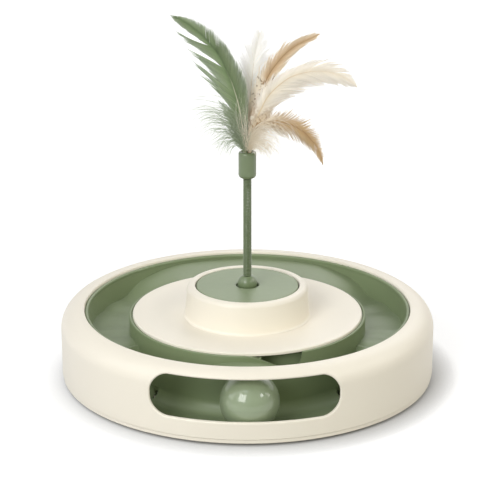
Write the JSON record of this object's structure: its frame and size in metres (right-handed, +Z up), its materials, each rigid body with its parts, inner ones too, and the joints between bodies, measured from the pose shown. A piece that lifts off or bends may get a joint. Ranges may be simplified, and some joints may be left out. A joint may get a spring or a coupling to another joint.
{
  "type": "cat track ball toy",
  "caption": "Round cat toy: a captive ball rolls in a windowed gallery under a ring housing, and a feather wand on a spring stem swivels on the raised hub.",
  "frame": {"origin": "centre of the round base, on the surface that it stands on", "axes": "+Z up along the stem, -Y towards the window, +X to the right seen from the window"},
  "size_m": [0.25, 0.25, 0.2457],
  "materials": {
    "cream_plastic": "satin moulded plastic, cream",
    "green_plastic": "satin moulded plastic, sage green",
    "ball_plastic": "polished sage green plastic",
    "bearing_nylon": "natural nylon",
    "rubber": "soft grey rubber",
    "steel": "plain steel",
    "green_spring": "green coated spring wire",
    "green_feather": "dyed green feather",
    "white_feather": "white feather",
    "cream_feather": "cream feather",
    "tan_feather": "tan feather",
    "bead_plastic": "hard plastic bead"
  },
  "bodies": {
    "base": {"outer_housing": "cream_plastic", "bottom_cover": "cream_plastic", "cover_screws": "steel", "rubber_pads": "rubber", "track_channel": "green_plastic", "track_lip_ring": "green_plastic", "centre_disc": "cream_plastic", "insert_bearing": "bearing_nylon"},
    "turntable": {"hub_insert": "green_plastic", "insert_retaining_ring": "bearing_nylon"},
    "stem": {"swivel_knob": "green_plastic", "knob_retainer": "bearing_nylon", "knob_screw": "steel", "lower_spring_pin": "steel", "stem_spring": "green_spring"},
    "wand_head": {"upper_spring_pin": "steel", "ferrule": "green_plastic", "quill_plug": "green_plastic", "green_feather": "green_feather", "green_down_tuft": "green_feather", "cream_down_tuft": "cream_feather", "tan_feather_lower": "tan_feather", "cream_feather": "cream_feather", "tan_feather_upper": "tan_feather", "white_feather": "white_feather"},
    "rattle": {"rattle_bead": "bead_plastic"},
    "ball": {"ball_upper_half": "ball_plastic", "ball_lower_half": "ball_plastic"}
  },
  "joints": [
    {"name": "insert_spin", "type": "hinge", "parent": "base", "child": "turntable", "pos_m": [0, 0, 0.0613], "axis": [0, 0, 1], "continuous": true},
    {"name": "knob_tilt", "type": "hinge", "parent": "turntable", "child": "stem", "pos_m": [0, 0, 0.0623], "axis": [1, 0, 0], "range_deg": [-15, 15]},
    {"name": "stem_bend", "type": "hinge", "parent": "stem", "child": "wand_head", "pos_m": [0, 0, 0.10195], "axis": [0, 1, 0], "range_deg": [-40, 40], "stiffness_Nm_per_rad": 0.015, "deforming": ["stem_spring"]},
    {"name": "ball_travel", "type": "hinge", "parent": "base", "child": "rattle", "pos_m": [0, 0, 0.0021], "axis": [0, 0, 1], "range_deg": [-46, 44]},
    {"name": "ball_roll", "type": "hinge", "parent": "rattle", "child": "ball", "pos_m": [0.00144, -0.10319, 0.0213], "axis": [-0.014, 0.9999, 0], "range_deg": [-252, 252]}
  ],
  "couplings": [
    {"joint": "ball_roll", "follows": "ball_travel", "ratio": 5.4316}
  ]
}
